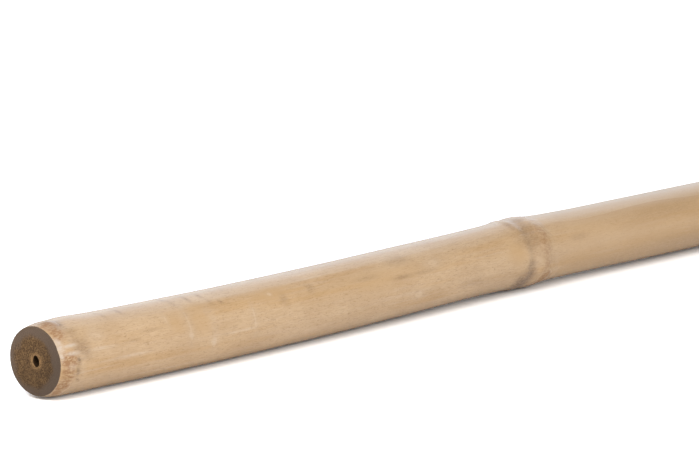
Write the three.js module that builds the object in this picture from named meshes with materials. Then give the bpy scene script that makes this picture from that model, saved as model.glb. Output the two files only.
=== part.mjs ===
// A cut bamboo cane, lying down: one solid culm, sawn through a joint ring at the butt and just past one at the tip.
// Millimetres, +Z up, the cane along +X with its butt at -X, its lowest point at Z = 0 and its box centred on X and Y.

import * as THREE from "three";

const LENGTH = 900;
const SIDES = 32;

// The culm between its joint rings: it loses a little thickness from butt to tip.
const BUTT_RADIUS = 14;
const TIP_RADIUS = 12.95;

// The joint rings, from butt to tip: where each ridge is, how far it swells and how far it stands aside in Y.
const JOINTS = [
  { at: 12, swell: 0.26, aside: 0 },
  { at: 268, swell: 1, aside: -1.75 },
  { at: 558, swell: 0.9, aside: -4.5 },
  { at: 884, swell: 0.8, aside: -1 },
];

// How far each length between two joints bows at most, in Y and in Z. It bows most in its middle where early is 1,
// nearer the joint before it where early is more, and nearer the next one where early is less.
const BOWS = [
  { aside: -2.9, down: 0.5, early: 1.5 },
  { aside: -1.7, down: 0.4, early: 0.75 },
  { aside: 3.5, down: 0.2, early: 1 },
];

// One joint's relief, as bumps: height, distance from the ridge towards the tip, and half width.
const FLARE = { height: 0.62, from: 0, width: 12 };
const SHEATH_SCAR = { height: 0.34, from: -6.5, width: 1.8 };
const RIDGE = { height: 0.45, from: 3.5, width: 4.5 };
const RELIEF = [FLARE, SHEATH_SCAR, RIDGE];

// The culm is a little slimmer on both sides of a joint than in its middle.
const WAIST_BELOW = { height: -0.12, from: -42, width: 20 };
const WAIST_ABOVE = { height: -0.24, from: 44, width: 26 };
const WAISTS = [WAIST_BELOW, WAIST_ABOVE];

// The ends: the butt's edge is worn round over a long stretch, and the tip's is only broken.
const BUTT_EDGE = { drop: 1.12, length: 9 };
const TIP_EDGE = { drop: 0.5, length: 1.2 };

// The small hole in the middle of each sawn end: an upright oval, closed and narrower where the joint's wall stops it.
const BUTT_HOLE = { radius: 2.15, bottom: 1.2, depth: 10 };
const TIP_HOLE = { radius: 1.75, bottom: 1, depth: 11 };
const HOLE_WIDTH_SHARE = 0.74;
const HOLE_REACH = 4;

const bump = ({ height, from, width }, distance) =>
  height * Math.exp(-(((distance - from) / width) ** 2));

const total = (bumps, distance) =>
  bumps.reduce((sum, one) => sum + bump(one, distance), 0);

function wornEdge({ drop, length }, distance) {
  return distance < length ? drop * (1 - distance / length) ** 2 : 0;
}

// The culm's radius at a distance from the butt.
function radiusAt(distance) {
  let radius = THREE.MathUtils.lerp(BUTT_RADIUS, TIP_RADIUS, distance / LENGTH);
  for (const { at, swell } of JOINTS) {
    radius += swell * total(RELIEF, distance - at);
  }
  for (const { at } of JOINTS.slice(1, -1)) {
    radius += total(WAISTS, distance - at);
  }
  radius -= wornEdge(BUTT_EDGE, distance);
  radius -= wornEdge(TIP_EDGE, LENGTH - distance);
  return radius;
}

// Each joint ring rests on the ground on one flat of its sides, at its ridge.
function restingHeight({ at }) {
  return radiusAt(at + RIDGE.from) * Math.cos(Math.PI / SIDES);
}

// A bow's depth at a share of the way between its joints: nothing at both, and 1 where it is deepest.
function bowAt(early, share) {
  const inside = THREE.MathUtils.clamp(share, 0, 1);
  const depth = (way) => way * (1 - way) ** early;
  return depth(inside) / depth(1 / (1 + early));
}

// The middle of the culm at a distance from the butt, as { aside, height }.
function middleAt(distance) {
  const length = JOINTS.findLastIndex(({ at }) => at <= distance);
  const i = THREE.MathUtils.clamp(length, 0, BOWS.length - 1);
  const [from, to] = [JOINTS[i], JOINTS[i + 1]];
  const share = (distance - from.at) / (to.at - from.at);
  const bow = bowAt(BOWS[i].early, share);
  const aside = THREE.MathUtils.lerp(from.aside, to.aside, share);
  const height = THREE.MathUtils.lerp(restingHeight(from), restingHeight(to), share);
  return { aside: aside + bow * BOWS[i].aside, height: height - bow * BOWS[i].down };
}

// Where the outline has points: close together at each joint and edge, and far apart between the joints.
const JOINT_STEPS = [-34, -24, -17, -12, -9, -7.8, -6.5, -5.2, -3.5, -1, 1.5, 3.5, 5.5, 8, 11, 15, 20, 27, 36];
const BUTT_STEPS = [0.5, 1.5, 3, 5, 7, 9];
const TIP_STEPS = [0.4, 1.2, 5];
const STRETCH_STEP = 26;

function outlinePlaces() {
  const butt = [0, ...BUTT_STEPS];
  const tip = [LENGTH, ...TIP_STEPS.map((step) => LENGTH - step)];
  const [firstJoint, lastJoint] = [JOINTS[0], JOINTS.at(-1)];
  const places = [...butt, ...tip];
  for (const joint of JOINTS) {
    const around = JOINT_STEPS.map((step) => joint.at + step);
    places.push(
      ...around.filter(
        (place) =>
          (joint !== firstJoint || place > BUTT_STEPS.at(-1) + 1) &&
          (joint !== lastJoint || place < LENGTH - TIP_STEPS.at(-1) - 1),
      ),
    );
  }
  for (let i = 1; i < JOINTS.length; i++) {
    const start = JOINTS[i - 1].at + JOINT_STEPS.at(-1);
    const end = JOINTS[i].at + JOINT_STEPS[0];
    const count = Math.round((end - start) / STRETCH_STEP);
    for (let k = 1; k < count; k++) {
      places.push(THREE.MathUtils.lerp(start, end, k / count));
    }
  }
  return places.sort((a, b) => a - b);
}

// The outline turned about the cane's length, from the bottom of the butt's hole round to the bottom of the tip's.
function outline() {
  const point = (radius, distance) => new THREE.Vector2(radius, distance);
  const faceRings = [HOLE_REACH, 8.5];
  return [
    point(0, BUTT_HOLE.depth),
    point(BUTT_HOLE.bottom, BUTT_HOLE.depth),
    point(BUTT_HOLE.radius, 0),
    ...faceRings.map((radius) => point(radius, 0)),
    ...outlinePlaces().map((distance) => point(radiusAt(distance), distance)),
    ...faceRings.reverse().map((radius) => point(radius, LENGTH)),
    point(TIP_HOLE.radius, LENGTH),
    point(TIP_HOLE.bottom, LENGTH - TIP_HOLE.depth),
    point(0, LENGTH - TIP_HOLE.depth),
  ];
}

function culmGeometry() {
  const halfSide = Math.PI / SIDES;
  const turned = new THREE.LatheGeometry(outline(), SIDES, halfSide, 2 * Math.PI);
  turned.rotateZ(-Math.PI / 2);

  const places = turned.getAttribute("position");
  for (let i = 0; i < places.count; i++) {
    const [distance, y, z] = [places.getX(i), places.getY(i), places.getZ(i)];
    const { aside, height } = middleAt(distance);
    const width = Math.hypot(y, z) < HOLE_REACH - 1 ? HOLE_WIDTH_SHARE : 1;
    places.setXYZ(i, distance, aside + width * y, height + z);
  }

  turned.computeBoundingBox();
  const box = turned.boundingBox;
  const centre = box.getCenter(new THREE.Vector3());
  turned.translate(-centre.x, -centre.y, -box.min.z);
  turned.computeVertexNormals();
  return turned;
}

const bamboo = new THREE.MeshStandardMaterial({ color: "#cfae83", roughness: 0.55, metalness: 0 });

const cane = new THREE.Mesh(culmGeometry(), bamboo);
cane.name = "cane";

const part = new THREE.Group();
part.add(cane);

export default part;
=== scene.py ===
import math
from typing import NamedTuple

import bpy
import numpy as np
from bpy.props import FloatProperty, FloatVectorProperty, IntProperty, PointerProperty
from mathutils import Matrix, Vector, noise


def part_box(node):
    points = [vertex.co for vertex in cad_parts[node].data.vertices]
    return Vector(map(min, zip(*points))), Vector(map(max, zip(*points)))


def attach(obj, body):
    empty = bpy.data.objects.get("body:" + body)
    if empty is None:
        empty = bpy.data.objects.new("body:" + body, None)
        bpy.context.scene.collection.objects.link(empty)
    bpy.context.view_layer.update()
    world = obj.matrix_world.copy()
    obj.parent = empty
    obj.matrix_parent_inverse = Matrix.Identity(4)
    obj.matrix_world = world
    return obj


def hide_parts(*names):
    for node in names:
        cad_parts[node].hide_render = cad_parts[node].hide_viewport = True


bl_info = {
    "name": "Bamboo Cane",
    "version": (1, 0, 0),
    "blender": (4, 5, 0),
    "location": "3D View > Sidebar > Cane",
    "description": "Makes a cut bamboo cane that lies on a pale floor in soft light",
    "category": "Add Mesh",
}

# Lengths are in metres and angles in degrees. A distance is measured along the cane from its sawn
# butt, and a turn goes round the cane from its top towards its -Y side.

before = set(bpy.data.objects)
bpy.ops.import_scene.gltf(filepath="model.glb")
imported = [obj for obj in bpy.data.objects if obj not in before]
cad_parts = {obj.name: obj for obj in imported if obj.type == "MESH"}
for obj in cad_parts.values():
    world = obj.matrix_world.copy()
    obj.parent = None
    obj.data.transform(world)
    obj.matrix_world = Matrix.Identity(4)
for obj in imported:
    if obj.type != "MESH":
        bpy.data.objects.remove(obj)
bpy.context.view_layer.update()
CANE_LOW, CANE_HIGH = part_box("cane")

MM = 0.001


# -----------------------------------------------------------------------------
# The culm's own law: how thick it is and where its middle runs
# -----------------------------------------------------------------------------


class Joint(NamedTuple):
    """A joint: its middle's distance, how far it swells, how far it stands aside in Y, and how strongly
    its own dirt and rust show. Its growth line is a fine ring at a distance past the middle, or before
    it where that is negative, which waves to and fro a number of times round the culm, from a crest."""

    at: float
    swell: float
    aside: float
    wear: float
    line: float
    wave: float
    waves: int
    crest: float


JOINTS = (
    Joint(12 * MM, 0.26, 0.0, 0.15, -5 * MM, 2.1 * MM, 3, 92),
    Joint(268 * MM, 1.0, -1.75 * MM, 0.15, 11.5 * MM, 4 * MM, 1, 180),
    Joint(558 * MM, 0.9, -4.5 * MM, 0.42, 11 * MM, 3 * MM, 1, 20),
    Joint(884 * MM, 0.8, -1.0 * MM, 0.42, 8.5 * MM, 2.2 * MM, 1, 200),
)


class Bow(NamedTuple):
    """How far a length between two joints bows, in Y and down, and how early it is deepest: 1 is
    halfway, and more is sooner."""

    aside: float
    down: float
    early: float


BOWS = (
    Bow(-2.9 * MM, 0.5 * MM, 1.5),
    Bow(-1.7 * MM, 0.4 * MM, 0.75),
    Bow(3.5 * MM, 0.2 * MM, 1.0),
)


class Bump(NamedTuple):
    """A smooth rise round the culm: its height, its distance from a joint's middle, and its half
    width."""

    height: float
    start: float
    width: float


FLARE = Bump(0.62 * MM, 0.0, 12 * MM)
SHEATH_SCAR = Bump(0.34 * MM, -6.5 * MM, 1.8 * MM)
RIDGE = Bump(0.45 * MM, 3.5 * MM, 4.5 * MM)
RELIEF = (FLARE, SHEATH_SCAR, RIDGE)
WAISTS = (Bump(-0.12 * MM, -42 * MM, 20 * MM), Bump(-0.24 * MM, 44 * MM, 26 * MM))
CENTRING_SAMPLES = 2000


class Edge(NamedTuple):
    """How far a sawn end's edge is worn down, over what length."""

    drop: float
    length: float


BUTT_EDGE = Edge(1.12 * MM, 9 * MM)
TIP_EDGE = Edge(0.5 * MM, 1.2 * MM)


class Hole(NamedTuple):
    """The oval hole in a sawn end: its half height at the mouth and at the bottom, and its depth."""

    radius: float
    bottom: float
    depth: float


BUTT_HOLE = Hole(2.15 * MM, 1.2 * MM, 10 * MM)
TIP_HOLE = Hole(1.75 * MM, 1.0 * MM, 11 * MM)
HOLE_WIDTH_SHARE = 0.74


def bump(shape, distance):
    return shape.height * np.exp(-(((distance - shape.start) / shape.width) ** 2))


def worn_edge(edge, distance):
    return edge.drop * np.clip(1 - distance / edge.length, 0, 1) ** 2


def radius_at(sizes, distance):
    """The culm's radius at one distance or at many."""
    radius = sizes.butt_radius + (sizes.tip_radius - sizes.butt_radius) * distance / sizes.length
    for joint in JOINTS:
        radius = radius + joint.swell * sum(bump(one, distance - joint.at) for one in RELIEF)
    for joint in JOINTS[1:-1]:
        radius = radius + sum(bump(one, distance - joint.at) for one in WAISTS)
    return radius - worn_edge(BUTT_EDGE, distance) - worn_edge(TIP_EDGE, sizes.length - distance)


def bow_at(early, share):
    """A bow's depth at a share of the way between its joints: nothing at both, and 1 at its deepest."""
    deepest = 1 / (1 + early)
    inside = np.clip(share, 0, 1)
    return inside * (1 - inside) ** early / (deepest * (1 - deepest) ** early)


def middle_at(sizes, distance):
    """Where the culm's middle is at one distance or at many: aside in Y before it is centred, and up
    in Z, where it rests on its joints' ridges."""
    distance = np.asarray(distance, float)
    aside = np.zeros_like(distance)
    height = np.zeros_like(distance)
    rests = [radius_at(sizes, joint.at + RIDGE.start) for joint in JOINTS]
    for i, bow in enumerate(BOWS):
        start, end = JOINTS[i], JOINTS[i + 1]
        here = np.ones_like(distance, bool)
        if i > 0:
            here &= distance >= start.at
        if i < len(BOWS) - 1:
            here &= distance < end.at
        share = (distance - start.at) / (end.at - start.at)
        bowed = bow_at(bow.early, share)
        sideways = start.aside + (end.aside - start.aside) * share + bowed * bow.aside
        raised = rests[i] + (rests[i + 1] - rests[i]) * share - bowed * bow.down
        aside = np.where(here, sideways, aside)
        height = np.where(here, raised, height)
    return aside, height


def centres_at(sizes, distance):
    """The culm's middle in the part's own frame, centred in Y as the CAD cane is."""
    everywhere = np.linspace(0, sizes.length, CENTRING_SAMPLES)
    sides = middle_at(sizes, everywhere)[0]
    radii = radius_at(sizes, everywhere)
    low, high = np.min(sides - radii), np.max(sides + radii)
    shift = (CANE_LOW.y + CANE_HIGH.y) / 2 - (low + high) / 2
    aside, height = middle_at(sizes, distance)
    return np.stack([CANE_LOW.x + np.asarray(distance, float), aside + shift, height], -1)


# -----------------------------------------------------------------------------
# What a user would change
# -----------------------------------------------------------------------------


def length_property(name, description, default):
    return FloatProperty(
        name=name, description=description, default=default, min=0.0, unit="LENGTH", precision=5
    )


def colour_property(name, description, default):
    return FloatVectorProperty(
        name=name, description=description, default=default, size=3, min=0.0, max=1.0, subtype="COLOR"
    )


def amount_property(name, description, default, least=0.0, unit="NONE"):
    return FloatProperty(name=name, description=description, default=default, min=least, unit=unit)


class CANE_PG_sizes(bpy.types.PropertyGroup):
    """The culm's sizes."""

    length: length_property("Length", "From the sawn butt to the sawn tip", CANE_HIGH.x - CANE_LOW.x)
    butt_radius: length_property("Butt radius", "Radius between joints at the butt", 14 * MM)
    tip_radius: length_property("Tip radius", "Radius between joints at the tip", 12.95 * MM)
    sides: IntProperty(
        name="Sides", description="Points round the culm before it is made finer", default=84, min=16
    )


class CANE_PG_colours(bpy.types.PropertyGroup):
    """The colours of the skin and of the sawn ends."""

    tan: colour_property("Tan", "The skin's main colour", (0.453, 0.316, 0.189))
    ochre: colour_property("Ochre", "The skin's more golden bands", (0.435, 0.284, 0.148))
    straw: colour_property("Straw", "The skin's palest lengthwise bands", (0.46, 0.327, 0.208))
    brown: colour_property("Brown", "Pores and fine lengthwise strokes", (0.27, 0.165, 0.085))
    bloom: colour_property("Bloom", "Scuffs and scratches, dry and pale", (0.465, 0.372, 0.29))
    # This colour is also a painted sheen along the top.
    dust_and_sheen: colour_property("Dust", "Pale dust along the top", (0.465, 0.372, 0.29))
    rust: colour_property("Rust", "The fibrous patches at a joint", (0.285, 0.155, 0.075))
    # This colour also paints shade along the underside.
    smudge_and_shade: colour_property("Smudge", "Dirt along a joint's scar", (0.205, 0.132, 0.08))
    fleck: colour_property("Fleck", "Small specks of mould", (0.14, 0.09, 0.06))
    wood: colour_property("Wood", "The middle of a sawn end", (0.108, 0.061, 0.026))
    bundle: colour_property("Bundle", "Fibre bundles, the dots in a sawn end", (0.04, 0.021, 0.009))
    rim: colour_property("Rim", "The dense wood close under the skin", (0.09, 0.061, 0.042))


class CANE_PG_stage(bpy.types.PropertyGroup):
    """The floor, the light and the camera."""

    floor_size: length_property("Floor size", "Side of the square floor", 12.0)
    floor_colour: colour_property("Floor colour", "The pale floor", (0.97, 0.97, 0.97))
    floor_glow: amount_property("Floor glow", "Glow of the floor by the cane, which lights nothing", 0.38)
    far_glow: amount_property("Far glow", "Glow of the floor further away, which lights nothing", 1.2)
    horizon: amount_property("Horizon", "White light from close to the horizon", 1.0)
    backdrop: amount_property("Backdrop", "Light from the far side's backdrop", 2.0)
    overhead: amount_property("Overhead", "Light from above the backdrop", 2.1)
    front_power: amount_property("Front power", "Power of the broad front light", 31.5, unit="POWER")
    side_power: amount_property("Side power", "Power of the light by the butt", 28.7, unit="POWER")
    near_power: amount_property("Near power", "Power of the small near light", 9.6, unit="POWER")
    lens: amount_property("Lens", "Focal length on a 36 mm frame, in millimetres", 224.1, 1.0, "CAMERA")


# -----------------------------------------------------------------------------
# Selecting and shaping
# -----------------------------------------------------------------------------


def select_faces(thing, wanted):
    """Goes into edit mode with only those faces selected that pass the test."""
    bpy.ops.object.mode_set(mode="EDIT")
    bpy.ops.mesh.select_mode(type="FACE")
    bpy.ops.mesh.select_all(action="DESELECT")
    bpy.ops.object.mode_set(mode="OBJECT")
    for polygon in thing.data.polygons:
        polygon.select = wanted(polygon)
    bpy.ops.object.mode_set(mode="EDIT")


EDGE_STEP = 0.3 * MM
EDGE_STEP_GROWTH = 0.14
JOINT_STEP = 1.1 * MM
JOINT_STEP_GROWTH = 0.12
JOINT_REACH = 12 * MM
SCUFFED_STEP = 3.4 * MM
PLAIN_STEP = 9 * MM


def step_at(sizes, distance):
    """How far the next ring of points is: close at the ends and joints, and further between them."""
    from_end = min(distance, sizes.length - distance)
    from_joint = min(abs(distance - joint.at - RIDGE.start) for joint in JOINTS[1:])
    near_joint = JOINT_STEP + JOINT_STEP_GROWTH * max(0, from_joint - JOINT_REACH)
    furthest = SCUFFED_STEP if distance < JOINTS[1].at else PLAIN_STEP
    return min(EDGE_STEP + EDGE_STEP_GROWTH * from_end, near_joint, furthest)


def ring_places(sizes):
    places = [0.0]
    while places[-1] < sizes.length:
        places.append(places[-1] + step_at(sizes, places[-1]))
    return np.array(places) * sizes.length / places[-1]


def extrude_culm(sizes):
    """A disc at the butt, drawn out ring by ring to the tip, each ring at its own middle and radius."""
    places = ring_places(sizes)
    centres = centres_at(sizes, places)
    radii = radius_at(sizes, places)
    bpy.ops.object.select_all(action="DESELECT")
    bpy.ops.mesh.primitive_circle_add(
        vertices=sizes.sides,
        radius=radii[0],
        fill_type="NGON",
        location=centres[0],
        rotation=(0, math.pi / 2, 0),
    )
    culm = bpy.context.object
    culm.name = culm.data.name = "bamboo_cane"
    bpy.ops.object.transform_apply(location=True, rotation=True, scale=True)
    bpy.ops.object.mode_set(mode="EDIT")
    bpy.ops.mesh.select_all(action="SELECT")
    for i in range(1, len(places)):
        bpy.ops.mesh.extrude_region_move(TRANSFORM_OT_translate={"value": centres[i] - centres[i - 1]})
        growth = radii[i] / radii[i - 1]
        bpy.ops.transform.resize(value=(1, growth, growth), center_override=centres[i])
    bpy.ops.object.mode_set(mode="OBJECT")
    return culm


FACE_INSETS = (0.25 * MM, 1.2 * MM, 3.0 * MM, 3.2 * MM)
HOLE_LIP = 0.25 * MM
HOLE_LEAN = 13


def sink_hole(culm, sizes, distance, hole, inward):
    """Rings on a sawn end, and the blind oval hole in its middle. Inward is 1 at the butt and -1 at
    the tip."""
    centre = Vector(centres_at(sizes, distance))
    left = float(radius_at(sizes, distance))

    def sawn(polygon):
        return len(polygon.vertices) > 4 and abs(polygon.center.x - centre.x) < EDGE_STEP / 2

    select_faces(culm, sawn)
    for thickness in FACE_INSETS:
        bpy.ops.mesh.inset(thickness=thickness)
        left -= thickness
    bpy.ops.mesh.inset(thickness=left - hole.radius - HOLE_LIP)
    bpy.ops.transform.resize(value=(1, HOLE_WIDTH_SHARE, 1), center_override=centre)
    bpy.ops.transform.rotate(value=math.radians(HOLE_LEAN), orient_axis="X", center_override=centre)
    bpy.ops.mesh.inset(thickness=HOLE_LIP)
    narrowing = math.sqrt(hole.bottom / hole.radius)
    stages = (
        (HOLE_LIP, 1.0),
        (hole.depth / 2 - HOLE_LIP, narrowing),
        (hole.depth / 2, narrowing),
    )
    for deeper, width in stages:
        bpy.ops.mesh.extrude_region_move(TRANSFORM_OT_translate={"value": (inward * deeper, 0, 0)})
        centre.x += inward * deeper
        bpy.ops.transform.resize(value=(1, width, width), center_override=centre)
    bpy.ops.object.mode_set(mode="OBJECT")


def refine(culm):
    """Turns every face outwards and splits each in four along a smooth surface."""
    bpy.ops.object.mode_set(mode="EDIT")
    bpy.ops.mesh.select_all(action="SELECT")
    bpy.ops.mesh.normals_make_consistent(inside=False)
    bpy.ops.object.mode_set(mode="OBJECT")
    bpy.ops.object.modifier_add(type="SUBSURF")
    finer = culm.modifiers[-1]
    finer.levels = finer.render_levels = 1
    bpy.ops.object.modifier_apply(modifier=finer.name)


# -----------------------------------------------------------------------------
# Relief and marks, worked into the points
# -----------------------------------------------------------------------------


class Pattern(NamedTuple):
    """Smooth noise over the skin: how long and how wide its features are, and its seed."""

    long: float
    wide: float
    seed: float


LUMPS = Pattern(45 * MM, 14 * MM, 3.0)
WANDER = Pattern(400 * MM, 6 * MM, 11.0)
TATTERS = Pattern(6 * MM, 1.6 * MM, 17.0)
COLLAR_FIBRES = Pattern(5 * MM, 0.9 * MM, 23.0)
BLOTCHES = Pattern(4 * MM, 2.4 * MM, 31.0)
SPECKS = Pattern(1.6 * MM, 0.9 * MM, 37.0)
CLOUDS = Pattern(35 * MM, 7 * MM, 41.0)


class Points:
    """The culm's points as arrays: place, distance along, offset from the middle, turn and radius."""

    def __init__(self, culm, sizes):
        self.mesh = culm.data
        self.place = np.zeros((len(self.mesh.vertices), 3), np.float32)
        self.mesh.vertices.foreach_get("co", self.place.ravel())
        self.along = self.place[:, 0].astype(float) - CANE_LOW.x
        self.middle = centres_at(sizes, self.along)
        self.across = self.place[:, 1:] - self.middle[:, 1:]
        self.radius = np.hypot(self.across[:, 0], self.across[:, 1])
        self.skin_radius = radius_at(sizes, self.along)
        self.turn = np.degrees(np.arctan2(-self.across[:, 0], self.across[:, 1]))
        self.length = sizes.length

    def noise(self, pattern):
        """A pattern's value from -1 to 1 at each point. Its two edges meet underneath."""
        angle = np.radians(self.turn)
        scale = self.skin_radius / pattern.wide
        columns = (
            self.along / pattern.long + pattern.seed,
            np.cos(angle) * scale,
            np.sin(angle) * scale + pattern.seed,
        )
        return np.array([noise.noise(Vector(point)) for point in zip(*columns)])

    def swell(self, amount):
        """Moves the points out by an amount each, less so inside the sawn ends, which stay flat. None
        goes below the floor."""
        share = np.clip(self.radius / self.skin_radius, 0, 1) ** 3
        outward = self.across / np.maximum(self.radius, 1e-9)[:, None]
        self.place[:, 1:] += (outward * (amount * share)[:, None]).astype(np.float32)
        self.place[:, 2] = np.maximum(self.place[:, 2], 0)
        self.mesh.vertices.foreach_set("co", self.place.ravel())
        self.mesh.update()

    def store(self, name, values):
        kind, field = ("FLOAT", "value") if values.ndim == 1 else ("FLOAT_VECTOR", "vector")
        layer = self.mesh.attributes.new(name, kind, "POINT")
        layer.data.foreach_set(field, values.astype(np.float32).ravel())


def ramp(value, low, high):
    """Smoothly from 0 below low to 1 above high. Low may be the greater of the two."""
    share = np.clip((value - low) / (high - low), 0, 1)
    return share * share * (3 - 2 * share)


def ring(points, centre, half_width):
    """1 on a ring round the culm, falling to nothing a few half widths away."""
    return np.exp(-(((points.along - centre) / half_width) ** 2))


def growth_line(points, joint):
    """The distance of a joint's fine growth line at each point's turn."""
    swing = np.cos(np.radians(joint.waves * (points.turn - joint.crest)))
    return joint.at + joint.line + joint.wave * swing


def scar_line(joint, wander):
    """The distance of a joint's wandering sheath scar at each point's turn."""
    return joint.at + SHEATH_SCAR.start + SCAR_WANDER * wander


OVAL_HEIGHT = 0.07 * MM
OVAL_START = 0.6
OVAL_TWIST = 0.11
LUMP_HEIGHT = 0.08 * MM
SCAR_WANDER = 1.6 * MM
# These three are placed from the scar or the growth line that they follow, not from the joint's middle.
SCAR_LIP = Bump(0.015 * MM, 0.0, 2.2 * MM)
SCAR_GROOVE = Bump(-0.05 * MM, 3.4 * MM, 2.0 * MM)
LINE_RIDGE = Bump(0.025 * MM, 0.0, 1.2 * MM)
COLLAR_REACH = (9 * MM, 5 * MM)
COLLAR_HEIGHT = 0.05 * MM
CHIP_DEPTH = 0.22 * MM
BULGE_HEIGHT = 0.85 * MM
WORN_TOP_DEPTH = 0.28 * MM


def work_relief(points):
    """The fine shape of the skin: not quite round, lumpy, with a worn scar and a fine line at each
    joint, and a chipped and uneven butt."""
    angle = np.radians(points.turn)
    relief = OVAL_HEIGHT * np.cos(2 * angle + OVAL_START + points.along / OVAL_TWIST)
    relief += LUMP_HEIGHT * points.noise(LUMPS)
    wander = points.noise(WANDER)
    ragged = points.noise(TATTERS)
    for joint in JOINTS:
        strength = 0.5 + 0.5 * joint.swell
        scar = scar_line(joint, wander)
        line = growth_line(points, joint)
        if joint is not JOINTS[0]:
            torn = SCAR_LIP.height * strength * (1 + 0.8 * ragged)
            relief += torn * ring(points, scar, SCAR_LIP.width)
            groove = ring(points, scar + SCAR_GROOVE.start, SCAR_GROOVE.width)
            relief += SCAR_GROOVE.height * strength * groove
        relief += LINE_RIDGE.height * strength * ring(points, line, LINE_RIDGE.width)
    relief += COLLAR_HEIGHT * ramp(points.along, *COLLAR_REACH) * points.noise(COLLAR_FIBRES)
    relief -= CHIP_DEPTH * spot(points, CHIP, 1.0) * (1 + 0.6 * ragged)
    relief += spot(points, BULGE, 1.0) * BULGE_HEIGHT
    relief -= spot(points, WORN_TOP, 1.0) * WORN_TOP_DEPTH
    points.swell(relief)


class Mark(NamedTuple):
    """A mark on the skin: its paint, distance, turn, half length along, half width round, lean and
    strength. The lean is how far it moves along for each length round."""

    paint: str
    at: float
    turn: float
    long: float
    wide: float
    lean: float
    strength: float


# These three are worked into the shape and have no paint of their own.
CHIP = Mark("", 0.0, 62, 2.6 * MM, 2.8 * MM, 0.0, 1.0)
BULGE = Mark("", 0.0, -95, 5.0 * MM, 11.0 * MM, 0.0, 1.0)
WORN_TOP = Mark("", 8.0 * MM, -8, 5.0 * MM, 6.0 * MM, 0.0, 1.0)

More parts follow.
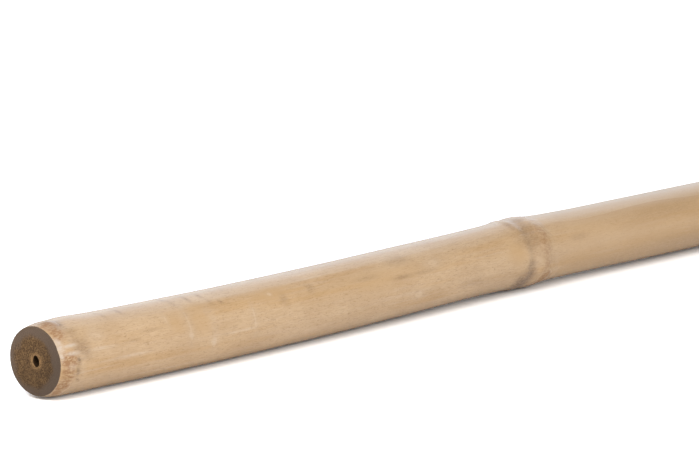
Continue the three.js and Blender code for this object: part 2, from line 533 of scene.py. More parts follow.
MARKS = (
    # The butt's collar: rust patches, the chip in its edge, two scratches, dirt and specks.
    Mark("rust", 3.6 * MM, 8, 3.4 * MM, 3.2 * MM, 0.0, 1.0),
    Mark("rust", 3.2 * MM, 34, 2.6 * MM, 3.4 * MM, 0.2, 0.9),
    Mark("rust", 3.6 * MM, 82, 3.6 * MM, 3.0 * MM, 0.0, 0.95),
    Mark("rust", 3.4 * MM, 105, 3.0 * MM, 3.6 * MM, 0.0, 0.95),
    Mark("rust", 3.0 * MM, 127, 2.8 * MM, 2.8 * MM, 0.0, 1.0),
    Mark("rust", 2.4 * MM, 145, 2.0 * MM, 2.6 * MM, 0.0, 0.9),
    Mark("bloom", 1.3 * MM, 52, 1.2 * MM, 1.9 * MM, 0.3, 0.8),
    Mark("bloom", 1.2 * MM, 60, 1.9 * MM, 2.0 * MM, 0.0, 0.85),
    Mark("bloom", 0.8 * MM, 74, 0.9 * MM, 1.6 * MM, 0.0, 0.8),
    Mark("bloom", 5.4 * MM, 61, 3.6 * MM, 0.7 * MM, 0.2, 0.85),
    Mark("bloom", 5.6 * MM, 73, 3.0 * MM, 0.65 * MM, 1.4, 1.0),
    Mark("bloom", 5.0 * MM, 94, 1.8 * MM, 1.3 * MM, 0.0, 0.3),
    Mark("smudge_and_shade", 11.0 * MM, 68, 4.0 * MM, 4.0 * MM, 0.4, 0.5),
    Mark("smudge_and_shade", 6.5 * MM, 18, 3.0 * MM, 4.4 * MM, 0.0, 0.5),
    Mark("smudge_and_shade", 9.0 * MM, 38, 3.0 * MM, 3.0 * MM, 0.0, 0.25),
    Mark("smudge_and_shade", 8.2 * MM, 86, 1.4 * MM, 1.6 * MM, 0.0, 0.6),
    Mark("smudge_and_shade", 7.8 * MM, 104, 1.3 * MM, 2.0 * MM, 0.0, 0.55),
    Mark("fleck", 7.4 * MM, 20, 1.2 * MM, 0.5 * MM, 0.6, 0.3),
    Mark("fleck", 8.3 * MM, 84, 0.7 * MM, 0.8 * MM, 0.5, 0.45),
    Mark("fleck", 7.9 * MM, 101, 0.6 * MM, 1.2 * MM, 0.3, 0.45),
    Mark("fleck", 8.3 * MM, 116, 0.7 * MM, 0.9 * MM, 0.6, 0.45),
    Mark("bloom", 10.4 * MM, 100, 1.4 * MM, 5.0 * MM, 0.0, 0.16),
    # Scuffed rings on the first length, with drier spots, pale streaks and golden patches.
    Mark("bloom", 54 * MM, 50, 1.3 * MM, 3.6 * MM, 0.1, 0.2),
    Mark("bloom", 64.5 * MM, 62, 1.7 * MM, 9.0 * MM, 0.0, 0.2),
    Mark("bloom", 64 * MM, 83, 1.0 * MM, 1.6 * MM, 0.0, 0.45),
    Mark("bloom", 77 * MM, 74, 1.8 * MM, 11.0 * MM, 0.0, 0.16),
    Mark("bloom", 75.6 * MM, 53, 1.0 * MM, 3.0 * MM, 0.1, 0.3),
    Mark("bloom", 76.2 * MM, 100, 1.8 * MM, 2.2 * MM, 0.0, 0.4),
    Mark("bloom", 98.5 * MM, 76, 1.6 * MM, 7.5 * MM, 0.0, 0.2),
    Mark("bloom", 110 * MM, 44, 1.3 * MM, 1.1 * MM, 0.0, 0.4),
    Mark("bloom", 91 * MM, 92, 11.0 * MM, 0.6 * MM, 0.0, 0.25),
    Mark("bloom", 35 * MM, 93, 9.0 * MM, 0.6 * MM, 0.0, 0.25),
    Mark("bloom", 20 * MM, 74, 8.0 * MM, 0.7 * MM, 0.0, 0.35),
    Mark("bloom", 19 * MM, 54, 4.0 * MM, 3.0 * MM, 0.0, 0.2),
    Mark("ochre", 58 * MM, 56, 4.0 * MM, 4.0 * MM, 0.0, 0.5),
    Mark("ochre", 71 * MM, 58, 5.0 * MM, 7.0 * MM, 0.0, 0.5),
    Mark("ochre", 112 * MM, 45, 10.0 * MM, 4.0 * MM, 0.0, 0.8),
    Mark("ochre", 172 * MM, 62, 24 * MM, 5.0 * MM, 0.0, 0.6),
    # Smudges and dark streaks on the first length, and two pale patches.
    Mark("smudge_and_shade", 36 * MM, 72, 4.0 * MM, 0.6 * MM, 0.0, 0.25),
    Mark("smudge_and_shade", 45 * MM, 61, 6.0 * MM, 0.6 * MM, 0.0, 0.22),
    Mark("smudge_and_shade", 28 * MM, 12, 0.7 * MM, 3.0 * MM, 0.3, 0.45),
    Mark("smudge_and_shade", 37 * MM, 12, 0.8 * MM, 3.4 * MM, 0.3, 0.5),
    Mark("smudge_and_shade", 62 * MM, 12, 0.8 * MM, 4.0 * MM, 0.3, 0.45),
    Mark("smudge_and_shade", 71 * MM, 14, 0.8 * MM, 4.0 * MM, 0.3, 0.5),
    Mark("smudge_and_shade", 78.5 * MM, 20, 0.8 * MM, 4.0 * MM, 0.3, 0.45),
    Mark("fleck", 84.5 * MM, 38.5, 0.8 * MM, 0.6 * MM, 0.0, 0.5),
    Mark("smudge_and_shade", 116.3 * MM, 57, 2.0 * MM, 2.4 * MM, 0.0, 0.35),
    Mark("smudge_and_shade", 132 * MM, 49, 2.2 * MM, 2.0 * MM, 0.0, 0.35),
    Mark("smudge_and_shade", 164 * MM, 55, 7.0 * MM, 1.1 * MM, 0.0, 0.25),
    Mark("smudge_and_shade", 184 * MM, 67, 6.0 * MM, 0.9 * MM, 0.0, 0.4),
    Mark("smudge_and_shade", 197 * MM, 67.5, 7.0 * MM, 0.8 * MM, 0.0, 0.3),
    Mark("smudge_and_shade", 186 * MM, 36, 7.0 * MM, 2.2 * MM, 0.0, 0.3),
    Mark("smudge_and_shade", 228 * MM, 106, 9.0 * MM, 2.2 * MM, 0.0, 0.25),
    Mark("bloom", 193 * MM, 102, 5.0 * MM, 2.8 * MM, 0.0, 0.2),
    Mark("bloom", 204 * MM, 56, 6.0 * MM, 2.4 * MM, 0.0, 0.2),
    # The first whole joint: dark marks along its scar, strongest towards the underside, and a rust band
    # on the way to its growth line.
    Mark("smudge_and_shade", 266 * MM, 14, 4.0 * MM, 4.0 * MM, 0.0, 0.4),
    Mark("smudge_and_shade", 260.5 * MM, 24, 2.4 * MM, 5.0 * MM, 0.0, 0.4),
    Mark("fleck", 262 * MM, 132, 3.4 * MM, 3.4 * MM, 0.0, 0.35),
    Mark("smudge_and_shade", 265 * MM, 38, 5.5 * MM, 5.0 * MM, 0.0, 0.5),
    Mark("smudge_and_shade", 264.5 * MM, 58, 6.5 * MM, 5.5 * MM, 0.0, 0.42),
    Mark("ochre", 256 * MM, 76, 6.0 * MM, 5.0 * MM, 0.0, 0.9),
    Mark("smudge_and_shade", 263.5 * MM, 102, 2.6 * MM, 3.6 * MM, 0.0, 0.6),
    Mark("smudge_and_shade", 263.5 * MM, 119, 3.8 * MM, 4.2 * MM, 0.0, 0.95),
    Mark("smudge_and_shade", 262 * MM, 136, 6.0 * MM, 5.5 * MM, 0.0, 1.0),
    Mark("bloom", 267.6 * MM, 96, 2.6 * MM, 4.0 * MM, 0.0, 0.1),
    Mark("rust", 273 * MM, 62, 3.2 * MM, 9.0 * MM, 0.0, 0.5),
    Mark("rust", 273.5 * MM, 104, 2.8 * MM, 5.5 * MM, 0.0, 0.35),
    Mark("rust", 275 * MM, 136, 3.8 * MM, 6.5 * MM, 0.0, 0.8),
    # The second length: faint long patches, and painted shade along its lower side.
    Mark("bloom", 312 * MM, 82, 44 * MM, 5.0 * MM, 0.0, 0.1),
    Mark("smudge_and_shade", 295 * MM, 69, 6.0 * MM, 1.6 * MM, 0.0, 0.25),
    Mark("smudge_and_shade", 352 * MM, 52, 34 * MM, 5.0 * MM, 0.0, 0.2),
    # Painted shade along the second length's lower side.
    Mark("smudge_and_shade", 400 * MM, 130, 110 * MM, 9.0 * MM, 0.0, 0.3),
)
PAINTS = ("rust", "bloom", "ochre", "smudge_and_shade", "fleck", "dust_and_sheen")
NEAR_END = 400 * MM
NEAR_TURNS = (-20, 160)
WEAR_SEED = 7
WEAR_COUNT = 150


def wear_marks(length):
    """Chance scuffs, smudges and golden patches on the back and the far half, like the near ones."""
    chance = np.random.RandomState(WEAR_SEED)
    kinds = (
        ("bloom", 1.4 * MM, 6.0 * MM, 0.25),
        ("bloom", 9.0 * MM, 0.7 * MM, 0.28),
        ("bloom", 2.0 * MM, 1.6 * MM, 0.35),
        ("smudge_and_shade", 6.0 * MM, 1.0 * MM, 0.3),
        ("smudge_and_shade", 0.8 * MM, 3.6 * MM, 0.3),
        ("smudge_and_shade", 2.4 * MM, 2.2 * MM, 0.3),
        ("ochre", 14.0 * MM, 5.0 * MM, 0.8),
    )
    marks = []
    for _ in range(WEAR_COUNT):
        at, turn, size = chance.uniform(0, length), chance.uniform(-180, 180), chance.uniform(0.7, 1.5)
        paint, long, wide, strength = kinds[chance.randint(len(kinds))]
        if at > NEAR_END or not NEAR_TURNS[0] < turn < NEAR_TURNS[1]:
            marks.append(Mark(paint, at, turn, long * size, wide * size, 0.0, strength))
    return marks


SPOT_FLATNESS = 1.3


def spot(points, mark, ragged):
    """1 in the middle of a mark and smoothly nothing outside it. Ragged makes it larger or smaller at
    each point."""
    arc = np.radians((points.turn - mark.turn + 180) % 360 - 180) * points.skin_radius
    long = (points.along - mark.at - mark.lean * arc) / (mark.long * ragged)
    wide = arc / (mark.wide * ragged)
    return np.exp(-((long**2 + wide**2) ** SPOT_FLATNESS))


MARK_RAGGEDNESS = 0.35
BLOTCHED_PAST_JOINT = 20 * MM
PATCHY = (-0.7, 0.5)
SCAR_DIRT_WIDTH = 2.6 * MM
RUST_STARTS, RUST_ENDS = 6 * MM, 3 * MM
LINE_WIDTH = 1.6 * MM
LINE_PALE, LINE_PALE_PATCHES = 0.1, (-1.0, 0.4)
LINE_SPECKS, LINE_SPECKS_PAST, LINE_SPECKS_PATCHES = 0.3, 1.2 * MM, (0.3, 0.6)
GOLDEN_REACH = 30 * MM
GOLDEN = 0.55
# Painted shade: the skin is darkened along its underside, from this far round from the top.
UNDERSIDE_SHADE, UNDERSIDE_SHADE_TURNS = 0.4, (110, 165)
# A pale colour along the top, partly dusty and partly a painted sheen.
DUST_AND_SHEEN, DUST_AND_SHEEN_FURTHER, DUST_AND_SHEEN_TURNS, DUST_AND_SHEEN_STARTS = 0.16, 0.2, (64, 10), (8 * MM, 22 * MM)


def paint_marks(points):
    """Each paint's strength at each point: the marks above, what every joint has, a more golden skin past
    the first whole joint, painted shade along the underside, and a pale band along the top that is partly
    dusty and partly a painted sheen."""
    paints = {name: np.zeros(len(points.along)) for name in PAINTS}
    wander = points.noise(WANDER)
    blotch = points.noise(BLOTCHES)
    cloud = points.noise(CLOUDS)
    ragged = np.where(points.along < JOINTS[1].at + BLOTCHED_PAST_JOINT, blotch, cloud)
    speck = points.noise(SPECKS)

    def paint(name, values):
        paints[name] = np.maximum(paints[name], values)

    for mark in (*MARKS, *wear_marks(points.length)):
        paint(mark.paint, mark.strength * spot(points, mark, 1 + MARK_RAGGEDNESS * ragged))
    for joint in JOINTS:
        scar = scar_line(joint, wander)
        line = growth_line(points, joint)
        patches = ramp(blotch, *PATCHY)
        if joint is not JOINTS[0]:
            paint("smudge_and_shade", joint.wear * ring(points, scar, SCAR_DIRT_WIDTH) * patches)
        starts = ramp(points.along, scar, scar + RUST_STARTS)
        ends = ramp(points.along, line, line - RUST_ENDS)
        paint("rust", joint.wear * (starts * ends) * patches)
        pale = LINE_PALE * ring(points, line, LINE_WIDTH)
        paint("bloom", pale * ramp(speck, *LINE_PALE_PATCHES))
        specks = LINE_SPECKS * ring(points, line + LINE_SPECKS_PAST, LINE_WIDTH)
        paint("fleck", specks * ramp(speck, *LINE_SPECKS_PATCHES))
    further = ramp(points.along, JOINTS[1].at, JOINTS[1].at + GOLDEN_REACH)
    from_top = np.abs(points.turn)
    uneven = 0.85 + 0.3 * cloud
    paint("ochre", GOLDEN * further)
    # Painted shade along the underside, in the dark colour of the scar dirt.
    paint("smudge_and_shade", UNDERSIDE_SHADE * ramp(from_top, *UNDERSIDE_SHADE_TURNS) * uneven)
    # A pale colour along the top: partly dusty, partly a painted sheen.
    dust_and_sheen = (DUST_AND_SHEEN + DUST_AND_SHEEN_FURTHER * further) * ramp(from_top, *DUST_AND_SHEEN_TURNS) * uneven
    paint("dust_and_sheen", dust_and_sheen * ramp(points.along, *DUST_AND_SHEEN_STARTS))
    for name, values in paints.items():
        points.store(name, np.clip(values, 0, 1))
    points.store("grain", np.column_stack([points.along, points.across]))


# -----------------------------------------------------------------------------
# Materials
# -----------------------------------------------------------------------------


class Nodes:
    """A node tree in the making. Most methods add a node and give back the socket that it ends in."""

    def __init__(self, tree):
        self.tree = tree

    def node(self, kind, **settings):
        made = self.tree.nodes.new(kind)
        for name, value in settings.items():
            setattr(made, name, value)
        return made

    def feed(self, socket, value):
        """Links a socket, or sets its value when it is given a plain one."""
        if isinstance(value, bpy.types.NodeSocket):
            self.tree.links.new(value, socket)
        elif isinstance(socket, bpy.types.NodeSocketColor):
            socket.default_value = (*value, 1)
        else:
            socket.default_value = value

    def map(self, value, low, high, to_low=0.0, to_high=1.0):
        made = self.node("ShaderNodeMapRange", interpolation_type="SMOOTHSTEP")
        self.feed(made.inputs["Value"], value)
        self.feed(made.inputs["From Min"], low)
        self.feed(made.inputs["From Max"], high)
        self.feed(made.inputs["To Min"], to_low)
        self.feed(made.inputs["To Max"], to_high)
        return made.outputs["Result"]

    def math(self, operation, first, second=0.0):
        made = self.node("ShaderNodeMath", operation=operation)
        self.feed(made.inputs[0], first)
        self.feed(made.inputs[1], second)
        return made.outputs["Value"]

    def vector(self, operation, first, second=(0, 0, 0)):
        made = self.node("ShaderNodeVectorMath", operation=operation)
        self.feed(made.inputs[0], first)
        self.feed(made.inputs[1], second)
        return made.outputs["Value" if operation in ("LENGTH", "DOT_PRODUCT") else "Vector"]

    def split(self, vector):
        made = self.node("ShaderNodeSeparateXYZ")
        self.feed(made.inputs["Vector"], vector)
        return made.outputs

    def mix(self, share, first, second, blend="MIX"):
        made = self.node("ShaderNodeMix", data_type="RGBA", blend_type=blend)
        self.feed(made.inputs["Factor"], share)
        self.feed(made.inputs[6], first)
        self.feed(made.inputs[7], second)
        return made.outputs[2]


class Grain(NamedTuple):
    """A material's noise: how long and how wide its features are, its detail, shift and roughness."""

    long: float
    wide: float
    detail: float = 2.0
    shift: float = 0.0
    roughness: float = 0.5


class Finish(Nodes):
    """A material in the making."""

    def __init__(self, name, roughness, specular):
        self.material = bpy.data.materials.new(name)
        self.material.use_nodes = True
        super().__init__(self.material.node_tree)
        self.shader = self.tree.nodes["Principled BSDF"]
        self.shader.inputs["Roughness"].default_value = roughness
        self.shader.inputs["Specular IOR Level"].default_value = specular

    def painted(self, name):
        return self.node("ShaderNodeAttribute", attribute_name=name).outputs["Fac"]

    def straightened(self):
        """Where a point is on a culm pulled straight: along it, and across it from its middle."""
        return self.node("ShaderNodeAttribute", attribute_name="grain").outputs["Vector"]

    def grain(self, long, wide, shift):
        """The straightened place in units of a length along the culm and a width across it."""
        mapping = self.node("ShaderNodeMapping")
        self.feed(mapping.inputs["Vector"], self.straightened())
        mapping.inputs["Location"].default_value = (shift, shift, 0)
        mapping.inputs["Scale"].default_value = (1 / long, 1 / wide, 1 / wide)
        return mapping.outputs["Vector"]

    def noise(self, grain):
        made = self.node("ShaderNodeTexNoise")
        self.feed(made.inputs["Vector"], self.grain(grain.long, grain.wide, grain.shift))
        made.inputs["Scale"].default_value = 1.0
        made.inputs["Detail"].default_value = grain.detail
        made.inputs["Roughness"].default_value = grain.roughness
        return made.outputs["Fac"]

    def bump(self, height, strength, depth, under=None):
        made = self.node("ShaderNodeBump")
        made.inputs["Strength"].default_value = strength
        made.inputs["Distance"].default_value = depth
        self.feed(made.inputs["Height"], height)
        if under is not None:
            self.feed(made.inputs["Normal"], under)
        return made.outputs["Normal"]


def grey(value):
    return (value, value, value)


# The skin's grain, from its broad bands down to its pores, and the grain that breaks up the paints.
BANDS = Grain(110 * MM, 6 * MM)
NARROW_BANDS = Grain(50 * MM, 1.5 * MM, shift=4.0)
PATCHES = Grain(20 * MM, 8 * MM, 3.0, 9.0)
FIBRES = Grain(3.5 * MM, 0.34 * MM, shift=2.0)
STROKES = Grain(2.8 * MM, 0.5 * MM, shift=21.0)
PORES = Grain(1.1 * MM, 0.45 * MM, 1.0, 6.0)
FINE = Grain(1.4 * MM, 0.6 * MM, 3.0, 13.0, 0.65)
FIBROUS = Grain(2.0 * MM, 0.8 * MM, 3.0, 17.0, 0.7)

# What the patches and the fibres multiply the skin's colour by, and how brown strokes and pores are.
DULLER, CLEANER = (0.95, 0.935, 0.92), (1.03, 1.035, 1.045)
DARKER, PALER = (0.95, 0.93, 0.89), (1.04, 1.05, 1.08)
STROKE_STRENGTH, PORE_STRENGTH = 0.42, 0.5

# Each paint in the order it goes on, with the grain that breaks it up and how far that swings it.
COATS = (
    ("ochre", FINE, 0.2),
    # This coat is partly a painted sheen along the top.
    ("dust_and_sheen", FINE, 0.5),
    # This coat is partly painted shade along the underside.
    ("smudge_and_shade", FINE, 0.8),
    ("rust", FIBROUS, 2.0),
    ("bloom", FINE, 0.8),
    ("fleck", FINE, 1.2),
)
DRY_PAINTS = ("rust", "bloom", "dust_and_sheen")
DRY_FROM, DRY_TO = 0.12, 0.9
WAXY_ROUGHNESS, DRY_ROUGHNESS = 0.27, 0.6


def skin_finish(colours):
    """Dry bamboo skin: faint lengthwise bands and fibres, pores, pale scuffs, rust and dirt, and a dull
    waxy sheen."""
    skin = Finish("bamboo_skin", 0.25, 0.18)
    colour = skin.mix(skin.map(skin.noise(BANDS), 0.34, 0.58), colours.ochre, colours.tan)
    colour = skin.mix(skin.map(skin.noise(NARROW_BANDS), 0.5, 0.75), colour, colours.straw)
    patches = skin.mix(skin.map(skin.noise(PATCHES), 0.35, 0.65), DULLER, CLEANER)
    colour = skin.mix(1.0, colour, patches, "MULTIPLY")
    fibres = skin.noise(FIBRES)
    threads = skin.mix(skin.map(fibres, 0.3, 0.7), DARKER, PALER)
    colour = skin.mix(1.0, colour, threads, "MULTIPLY")
    strokes = skin.map(skin.noise(STROKES), 0.56, 0.76, 0.0, STROKE_STRENGTH)
    colour = skin.mix(strokes, colour, colours.brown)
    pores = skin.map(skin.noise(PORES), 0.58, 0.75, 0.0, PORE_STRENGTH)
    colour = skin.mix(pores, colour, colours.brown)

    grains = {grain: skin.noise(grain) for grain in (FINE, FIBROUS)}
    for paint, grain, reach in COATS:
        ragged = skin.map(grains[grain], 0.3, 0.7, 1 - reach / 2, 1 + reach / 2)
        share = skin.math("MINIMUM", skin.math("MULTIPLY", skin.painted(paint), ragged), 1.0)
        colour = skin.mix(share, colour, getattr(colours, paint))
    skin.feed(skin.shader.inputs["Base Color"], colour)

    dry = skin.painted(DRY_PAINTS[0])
    for paint in DRY_PAINTS[1:]:
        dry = skin.math("MAXIMUM", dry, skin.painted(paint))
    rough = skin.map(dry, DRY_FROM, DRY_TO, WAXY_ROUGHNESS, DRY_ROUGHNESS)
    skin.feed(skin.shader.inputs["Roughness"], rough)
    normal = skin.bump(fibres, 0.15, 0.04 * MM)
    rusty = skin.math("MULTIPLY", grains[FIBROUS], skin.painted("rust"))
    normal = skin.bump(rusty, 0.7, 0.4 * MM, normal)
    skin.feed(skin.shader.inputs["Normal"], normal)
    return skin.material


# A sawn end is cut across the grain, so its noise changes only across, and is a metre long.
ACROSS = 1.0
RIM_EDGE = Grain(ACROSS, 5 * MM, 3.0, roughness=0.6)
MOTTLE = Grain(ACROSS, 2.6 * MM, 4.0, 3.0, 0.7)
SPECKLE = Grain(ACROSS, 0.5 * MM, shift=8.0)
BUNDLE_SPACING = 0.75 * MM
RIM_UNEVENNESS = 0.36
RIM_FROM, RIM_TO = 0.62, 0.84
RIM_BROADER = (0, -0.13, 0.08)
RING_PALER, RING_STRENGTH = 2.0, 0.65
RING_REACH = (0.32, 0.14)
# Painted light across a sawn end: the side it is paler towards, and how much paler.
LIT_SIDE, LIT_PALER = (0, 0.6, 0.6), 1.32


def over(vector, length):
    return tuple(value / length for value in vector)


def sawn_finish(colours, radius):
    """A sawn end: brown wood full of fibre bundles, a greyer dense rim that is broader on one side, a
    paler ring round the hole, and painted light that makes it paler towards its upper +Y side."""
    sawn = Finish("sawn_end", 0.8, 0.18)
    across = sawn.vector("MULTIPLY", sawn.straightened(), (0, 1, 1))
    out = sawn.math("DIVIDE", sawn.vector("LENGTH", across), radius)
    broader = sawn.vector("DOT_PRODUCT", across, over(RIM_BROADER, radius))
    uneven = sawn.math("SUBTRACT", sawn.noise(RIM_EDGE), 0.5)
    edge = sawn.math("ADD", out, sawn.math("MULTIPLY", uneven, RIM_UNEVENNESS))
    edge = sawn.math("ADD", edge, broader)

    dots = sawn.node("ShaderNodeTexVoronoi", feature="F1")
    sawn.feed(dots.inputs["Vector"], across)
    dots.inputs["Scale"].default_value = 1 / BUNDLE_SPACING
    mottle = sawn.noise(MOTTLE)
    speckle = sawn.noise(SPECKLE)
    bright = tuple(RING_PALER * value for value in colours.wood)
    wood = sawn.mix(sawn.map(mottle, 0.3, 0.7, 0.0, 0.7), colours.wood, colours.bundle)
    bundles = sawn.map(dots.outputs["Distance"], 0.2, 0.5, 0.85, 0.0)
    wood = sawn.mix(bundles, wood, colours.bundle)
    wood = sawn.mix(sawn.map(out, *RING_REACH, 0.0, RING_STRENGTH), wood, bright)
    coarse = sawn.mix(sawn.map(speckle, 0.25, 0.75), grey(0.5), grey(1.7))
    wood = sawn.mix(1.0, wood, coarse, "MULTIPLY")
    dense = sawn.mix(sawn.map(speckle, 0.25, 0.75), grey(0.88), grey(1.12))
    rim = sawn.mix(1.0, colours.rim, dense, "MULTIPLY")
    colour = sawn.mix(sawn.map(edge, RIM_FROM, RIM_TO), wood, rim)
    # Painted light: the end is paler towards its upper +Y side.
    upward = sawn.vector("DOT_PRODUCT", across, over(LIT_SIDE, radius))
    painted_light = sawn.mix(sawn.map(upward, -0.7, 0.7), grey(1.0), grey(LIT_PALER))
    colour = sawn.mix(1.0, colour, painted_light, "MULTIPLY")
    sawn.feed(sawn.shader.inputs["Base Color"], colour)
    sawn.feed(sawn.shader.inputs["Normal"], sawn.bump(mottle, 0.4, 0.2 * MM))
    return sawn.material


HOLE_FIBRES = Grain(3 * MM, 0.4 * MM)
HOLE_SHADE = 0.35


def hole_finish(colours):
    """The inside of the hole: rough and fibrous, between the fibre bundles' dark brown and a painted
    shade darker still.
    """
    hole = Finish("pith_hole", 0.9, 0.1)
    fibres = hole.noise(HOLE_FIBRES)
    # Painted shade down the hole: darker still than the fibre bundles.
    shade = tuple(HOLE_SHADE * value for value in colours.bundle)
    hole.feed(hole.shader.inputs["Base Color"], hole.mix(fibres, shade, colours.bundle))
    hole.feed(hole.shader.inputs["Normal"], hole.bump(fibres, 0.5, 0.2 * MM))
    return hole.material


SKIN, SAWN, HOLE = range(3)
FLAT_DEPTH = 0.05 * MM
HOLE_SHARE = 0.5
SMOOTH_BELOW = 50


def dress(culm, sizes, colours):
    """Skin all over, with a sawn finish on the flat ends and a dark one down the holes."""
    culm.data.materials.append(skin_finish(colours))
    culm.data.materials.append(sawn_finish(colours, float(radius_at(sizes, 0.0))))
    culm.data.materials.append(hole_finish(colours))
    middles = np.zeros(3 * len(culm.data.polygons), np.float32)
    culm.data.polygons.foreach_get("center", middles)
    middles = middles.reshape(-1, 3).astype(float)
    along = middles[:, 0] - CANE_LOW.x
    off = np.linalg.norm((middles - centres_at(sizes, along))[:, 1:], axis=1)
    from_end = np.minimum(along, sizes.length - along)
    inside = off < HOLE_SHARE * radius_at(sizes, along)
    finish = np.where(from_end < FLAT_DEPTH, SAWN, np.where(inside, HOLE, SKIN))
    culm.data.polygons.foreach_set("material_index", finish.astype(np.int32))


# -----------------------------------------------------------------------------
# Operators
# -----------------------------------------------------------------------------


class CANE_OT_culm(bpy.types.Operator):
    """Make the bamboo culm: drawn out ring by ring, holed, worn and marked, with its finishes"""

    bl_idname = "cane.culm"
    bl_label = "Culm"

    def execute(self, context):
        sizes = context.scene.cane_sizes
        culm = extrude_culm(sizes)
        sink_hole(culm, sizes, 0.0, BUTT_HOLE, 1)
        sink_hole(culm, sizes, sizes.length, TIP_HOLE, -1)
        refine(culm)
        points = Points(culm, sizes)
        paint_marks(points)
        work_relief(points)
        dress(culm, sizes, context.scene.cane_colours)
        bpy.ops.object.shade_smooth_by_angle(angle=math.radians(SMOOTH_BELOW))
        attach(culm, "root")
        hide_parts("cane")
        return {"FINISHED"}


class Lamp(NamedTuple):
    """A square light that points at the cane: its place from the butt, and its side."""

    name: str
    place: tuple
    size: float


FRONT = Lamp("front_light", (0.0, -2.2, 1.1), 1.2)
SIDE = Lamp("side_light", (-1.4, -0.3, 1.4), 0.8)
NEAR = Lamp("near_light", (-0.6, -0.8, 1.2), 0.6)
LIT_FROM_BUTT = (0.2, 0, 0)
CAMERA_FROM_BUTT = (-1.0732, -1.1161, 0.3492)
CAMERA_YAW = 48.1
CAMERA_PITCH = 11.052
CAMERA_FAR = 40.0
SENSOR_WIDTH = 36.0
FAR_GLOW_REACH = (0.12, 0.8)
FAR_GLOW_OVAL = (0.5, 1, 0)
SHADED_REACH = 0.035
SHADED_SHARES = (0.14, 0.42)
SHADING_SAMPLES = 4


def make_floor(stage):
    """A pale floor. Its glow keeps it white to the eye, fades out where the cane shades it, is stronger
    far from the cane, and is hidden from all but the camera's own rays, so that it lights nothing."""
    bpy.ops.object.select_all(action="DESELECT")
    bpy.ops.mesh.primitive_plane_add(size=stage.floor_size, location=(0, 0, 0))
    floor = bpy.context.object
    floor.name = floor.data.name = "floor"
    white = Finish("floor_white", 0.7, 0.2)
    white.feed(white.shader.inputs["Base Color"], stage.floor_colour)
    white.feed(white.shader.inputs["Emission Color"], grey(1.0))
    place = white.node("ShaderNodeTexCoord").outputs["Object"]
    away = white.vector("LENGTH", white.vector("MULTIPLY", place, FAR_GLOW_OVAL))
    open_sky = white.node("ShaderNodeAmbientOcclusion", samples=SHADING_SAMPLES)
    open_sky.inputs["Distance"].default_value = SHADED_REACH
    glow = white.map(open_sky.outputs["AO"], *SHADED_SHARES, 0.0, stage.floor_glow)
    far = white.map(away, *FAR_GLOW_REACH, 0.0, stage.far_glow - stage.floor_glow)
    seen = white.node("ShaderNodeLightPath").outputs["Is Camera Ray"]
    glow = white.math("MULTIPLY", white.math("ADD", glow, far), seen)
    white.feed(white.shader.inputs["Emission Strength"], glow)
    floor.data.materials.append(white.material)


# Where each band of the sky fades out, by height, and how far round the backdrop reaches.
HORIZON_TOP = (0.08, 0.24)
BACKDROP_TOP = (0.58, 0.74)
OVERHEAD_TOP = (0.8, 0.96)
BACKDROP_SIDE = (0.76, 0.9)
COOL_WHITE = (0.92, 1.0, 1.12)


def make_sky(stage):
    """White at the horizon all round, with a bright backdrop on the far side and light above it."""
    world = bpy.data.worlds.new("soft_sky")
    world.use_nodes = True
    bpy.context.scene.world = world
    sky = Nodes(world.node_tree)
    direction = sky.node("ShaderNodeTexCoord").outputs["Generated"]
    height = sky.split(direction)["Z"]
    level = sky.vector("NORMALIZE", sky.vector("MULTIPLY", direction, (1, 1, 0)))
    yaw = math.radians(CAMERA_YAW)
    ahead = (math.sin(yaw), math.cos(yaw), 0)
    facing = sky.map(sky.vector("DOT_PRODUCT", level, ahead), *BACKDROP_SIDE)
    tops = (HORIZON_TOP, BACKDROP_TOP, OVERHEAD_TOP)
    below = [sky.map(height, *top, 1.0, 0.0) for top in tops]
    total = sky.math("MULTIPLY", below[0], stage.horizon)
    for i, strength in enumerate((stage.backdrop, stage.overhead)):
        band = sky.math("MULTIPLY", sky.math("SUBTRACT", below[i + 1], below[i]), facing)
        total = sky.math("ADD", total, sky.math("MULTIPLY", band, strength))
    background = world.node_tree.nodes["Background"]
    sky.feed(background.inputs["Color"], sky.mix(below[0], COOL_WHITE, grey(1.0)))
    sky.feed(background.inputs["Strength"], total)


def make_light(lamp, power, butt):
    bpy.ops.object.light_add(type="AREA")
    light = bpy.context.object
    light.name = light.data.name = lamp.name
    light.data.shape = "SQUARE"
    light.data.size = lamp.size
    light.data.energy = power
    light.location = place = butt + Vector(lamp.place)
    target = butt + Vector(LIT_FROM_BUTT)
    light.rotation_euler = (target - place).to_track_quat("-Z", "Y").to_euler()


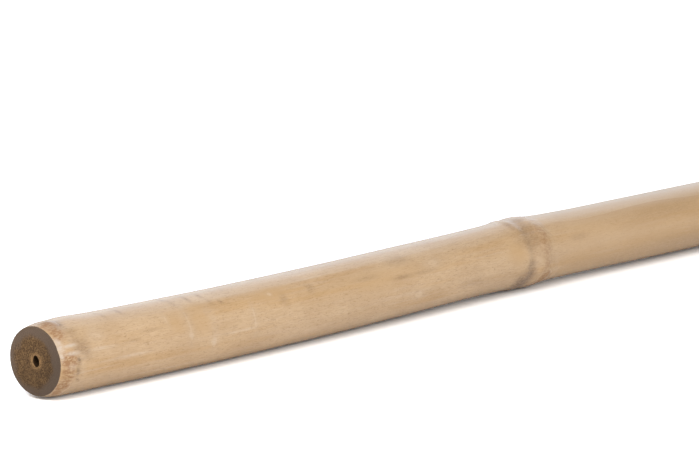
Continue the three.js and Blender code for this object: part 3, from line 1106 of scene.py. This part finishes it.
def make_camera(stage, butt):
    bpy.ops.object.camera_add()
    camera = bpy.context.object
    camera.name = camera.data.name = "camera"
    camera.data.sensor_width = SENSOR_WIDTH
    camera.data.lens = stage.lens
    camera.data.clip_end = CAMERA_FAR
    camera.location = butt + Vector(CAMERA_FROM_BUTT)
    camera.rotation_euler = (math.radians(90 - CAMERA_PITCH), 0, math.radians(-CAMERA_YAW))
    bpy.context.scene.camera = camera


class CANE_OT_stage(bpy.types.Operator):
    """Set the pale floor, the soft light and the camera round the cane"""

    bl_idname = "cane.stage"
    bl_label = "Stage"

    def execute(self, context):
        stage = context.scene.cane_stage
        butt = Vector(centres_at(context.scene.cane_sizes, 0.0))
        make_floor(stage)
        make_sky(stage)
        make_light(FRONT, stage.front_power, butt)
        make_light(SIDE, stage.side_power, butt)
        make_light(NEAR, stage.near_power, butt)
        make_camera(stage, butt)
        context.scene.view_settings.view_transform = "Standard"
        return {"FINISHED"}


class CANE_PT_panel(bpy.types.Panel):
    """The cane's tools in the 3D view's sidebar."""

    bl_idname = "CANE_PT_panel"
    bl_label = "Bamboo Cane"
    bl_space_type = "VIEW_3D"
    bl_region_type = "UI"
    bl_category = "Cane"

    def draw(self, context):
        for operator in OPERATORS:
            self.layout.operator(operator.bl_idname)
        for name in SETTINGS:
            group = getattr(context.scene, name)
            column = self.layout.column(align=True)
            for field in group.bl_rna.properties:
                if not field.is_readonly and field.identifier != "name":
                    column.prop(group, field.identifier)


OPERATORS = (CANE_OT_culm, CANE_OT_stage)
SETTINGS = {"cane_sizes": CANE_PG_sizes, "cane_colours": CANE_PG_colours, "cane_stage": CANE_PG_stage}


def register():
    for one in (*SETTINGS.values(), *OPERATORS, CANE_PT_panel):
        bpy.utils.register_class(one)
    for name, group in SETTINGS.items():
        setattr(bpy.types.Scene, name, PointerProperty(type=group))


def unregister():
    for name in SETTINGS:
        delattr(bpy.types.Scene, name)
    for one in (CANE_PT_panel, *reversed(OPERATORS), *reversed(SETTINGS.values())):
        bpy.utils.unregister_class(one)


def main():
    register()
    bpy.ops.cane.stage()
    bpy.ops.cane.culm()


if __name__ == "__main__":
    main()
